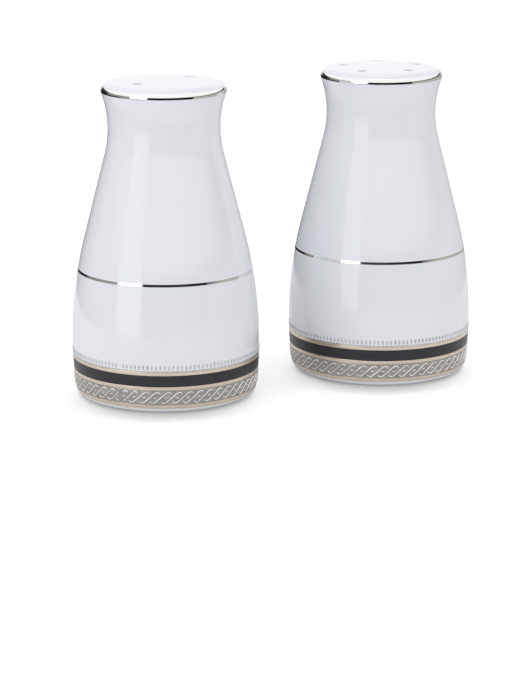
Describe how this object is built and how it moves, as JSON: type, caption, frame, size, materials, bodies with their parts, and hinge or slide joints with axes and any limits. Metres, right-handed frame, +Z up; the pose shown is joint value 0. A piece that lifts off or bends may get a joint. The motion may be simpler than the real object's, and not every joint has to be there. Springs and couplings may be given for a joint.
{
  "type": "salt and pepper shakers",
  "caption": "Glazed porcelain salt and pepper shakers with pierced caps, metallic decorated bands and a pull-out rubber stopper in each base",
  "frame": {"origin": "on the table, midway between the two shakers' axes", "axes": "+X from the salt shaker to the pepper shaker, +Z up, +Y to the back"},
  "size_m": [0.122, 0.0538, 0.0894],
  "materials": {
    "porcelain": "clear gloss glaze over white porcelain",
    "platinum": "polished fired-on platinum",
    "gold": "pale satin gold line",
    "charcoal": "satin charcoal with fine level brush lines",
    "scroll_ground": "satin metallic grey with raised scrolls",
    "stopper": "translucent white silicone rubber"
  },
  "bodies": {
    "salt_shaker": {"salt_body": "porcelain", "salt_gold_line_foot": "gold", "salt_scroll_band": "scroll_ground", "salt_gold_line_middle": "gold", "salt_charcoal_band": "charcoal", "salt_gold_line_upper": "gold", "salt_border_keyline": "platinum", "salt_bead_border": "platinum", "salt_waist_line": "platinum", "salt_rim_band": "platinum"},
    "salt_plug": {"salt_stopper": "stopper"},
    "pepper_shaker": {"pepper_body": "porcelain", "pepper_gold_line_foot": "gold", "pepper_scroll_band": "scroll_ground", "pepper_gold_line_middle": "gold", "pepper_charcoal_band": "charcoal", "pepper_gold_line_upper": "gold", "pepper_border_keyline": "platinum", "pepper_bead_border": "platinum", "pepper_waist_line": "platinum", "pepper_rim_band": "platinum"},
    "pepper_plug": {"pepper_stopper": "stopper"}
  },
  "joints": [
    {"name": "pepper_lift", "type": "slide", "parent": "salt_shaker", "child": "pepper_shaker", "axis": [0, 0, 1], "range_m": [0, 0.12]},
    {"name": "salt_stopper_pull", "type": "slide", "parent": "salt_shaker", "child": "salt_plug", "axis": [0, 0, -1], "range_m": [0, 0.04]},
    {"name": "pepper_stopper_pull", "type": "slide", "parent": "pepper_shaker", "child": "pepper_plug", "axis": [0, 0, -1], "range_m": [0, 0.04]}
  ]
}
